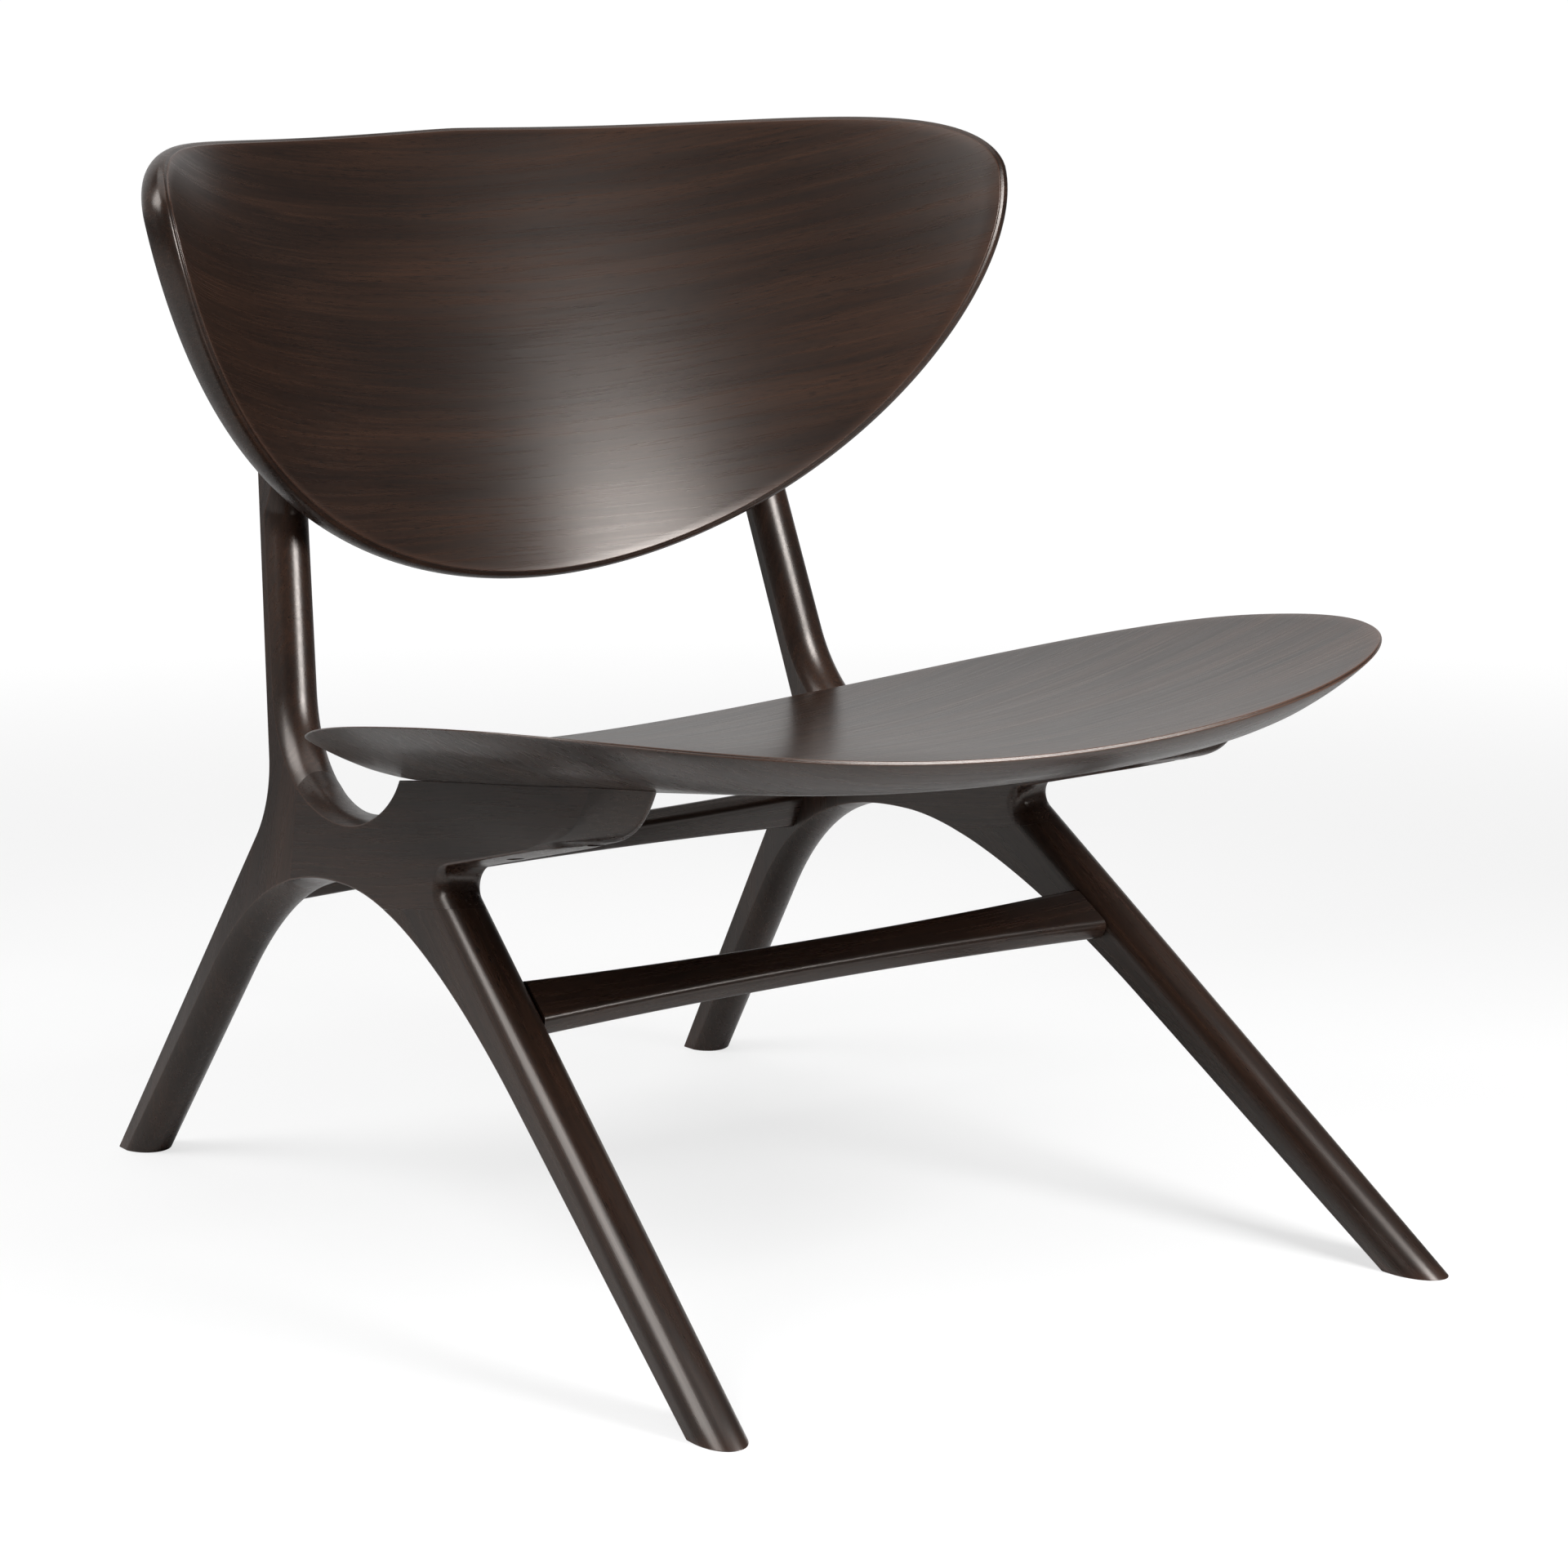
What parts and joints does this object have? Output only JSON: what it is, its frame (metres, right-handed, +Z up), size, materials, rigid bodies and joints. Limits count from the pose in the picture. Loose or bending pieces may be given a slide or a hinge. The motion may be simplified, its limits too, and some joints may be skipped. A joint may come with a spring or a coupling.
{
  "type": "lounge chair",
  "caption": "Low wooden lounge chair with a dished oval seat and a curved half-oval backrest on two splayed sculpted side frames tied by waisted cross members.",
  "frame": {"origin": "on the floor, under the middle of the overall box", "axes": "+Z up, -Y the way the sitter faces, +X the sitter's left side, which is on the right seen from the front"},
  "size_m": [0.724, 0.797, 0.7261],
  "materials": {
    "stained_mahogany": "dark brown stain under satin lacquer",
    "beech_dowel": "plain turned wood",
    "blackened_steel": "blackened",
    "insert_brass": "plain"
  },
  "bodies": {
    "root": {"seat_shell": "stained_mahogany", "backrest_shell": "stained_mahogany", "front_stretcher": "stained_mahogany", "rear_cross_rail": "stained_mahogany", "rear_leg_post_left": "stained_mahogany", "seat_rail_left": "stained_mahogany", "front_leg_left": "stained_mahogany", "rear_leg_post_right": "stained_mahogany", "seat_rail_right": "stained_mahogany", "front_leg_right": "stained_mahogany", "rail_dowel_upper_left": "beech_dowel", "rail_dowel_lower_left": "beech_dowel", "leg_dowel_front_left": "beech_dowel", "leg_dowel_rear_left": "beech_dowel", "rail_dowel_upper_right": "beech_dowel", "rail_dowel_lower_right": "beech_dowel", "leg_dowel_front_right": "beech_dowel", "leg_dowel_rear_right": "beech_dowel", "seat_bolt_front_left": "blackened_steel", "seat_bolt_rear_left": "blackened_steel", "back_bolt_upper_left": "blackened_steel", "back_bolt_lower_left": "blackened_steel", "seat_bolt_front_right": "blackened_steel", "seat_bolt_rear_right": "blackened_steel", "back_bolt_upper_right": "blackened_steel", "back_bolt_lower_right": "blackened_steel", "seat_insert_front_left": "insert_brass", "seat_insert_rear_left": "insert_brass", "back_insert_upper_left": "insert_brass", "back_insert_lower_left": "insert_brass", "seat_insert_front_right": "insert_brass", "seat_insert_rear_right": "insert_brass", "back_insert_upper_right": "insert_brass", "back_insert_lower_right": "insert_brass"}
  },
  "joints": []
}
